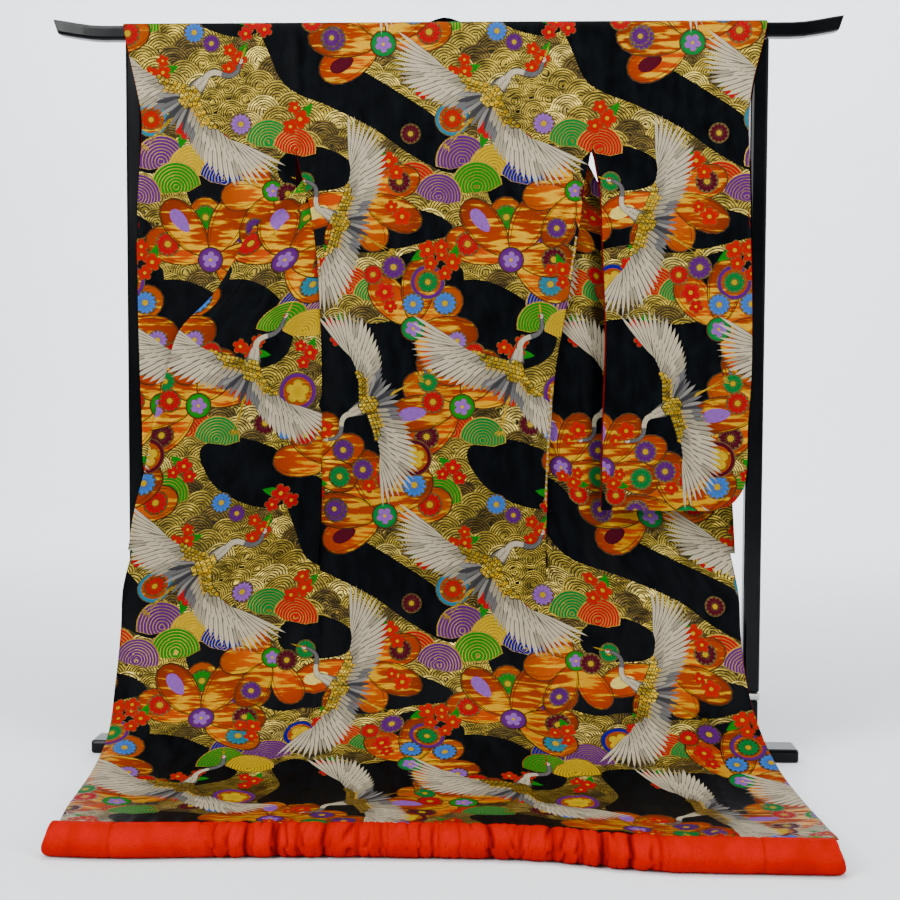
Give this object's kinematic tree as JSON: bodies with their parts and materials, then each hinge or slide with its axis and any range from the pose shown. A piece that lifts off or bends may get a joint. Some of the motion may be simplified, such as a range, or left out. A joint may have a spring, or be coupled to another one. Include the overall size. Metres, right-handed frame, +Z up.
{
  "type": "uchikake wedding kimono on a kimono stand",
  "caption": "Uchikake wedding kimono of patterned brocade with a padded red hem, hung open on a black lacquered stand and spread on the floor, seen from its back.",
  "frame": {"origin": "on the floor, under the middle of the part's box", "axes": "+X to the right of someone who faces the kimono's back, along the rod; -Y towards them, where the hem lies; +Z up"},
  "size_m": [1.606, 0.956, 1.521],
  "materials": {
    "brocade": "silk brocade with gold thread",
    "vermilion_silk": "padded silk",
    "black_satin": "satin",
    "black_lacquer": "gloss lacquer on wood",
    "silver_metal": "satin"
  },
  "bodies": {
    "root": {"back_left": "brocade", "back_right": "brocade", "front_left": "brocade", "front_right": "brocade", "okumi_left": "brocade", "okumi_right": "brocade", "collar_left": "brocade", "collar_right": "brocade", "sleeve_left_near": "brocade", "sleeve_left_far": "brocade", "sleeve_right_near": "brocade", "sleeve_right_far": "brocade", "fuki_okumi_left": "vermilion_silk", "fuki_left": "vermilion_silk", "fuki_right": "vermilion_silk", "fuki_okumi_right": "vermilion_silk", "collar_neck": "black_satin", "rod": "black_lacquer", "post_left": "black_lacquer", "post_right": "black_lacquer", "post_foot_left": "black_lacquer", "post_foot_right": "black_lacquer", "foot_left_front": "black_lacquer", "foot_left_rear": "black_lacquer", "foot_right_front": "black_lacquer", "foot_right_rear": "black_lacquer", "base_bar": "black_lacquer", "band_left": "silver_metal", "band_right": "silver_metal"}
  },
  "joints": []
}
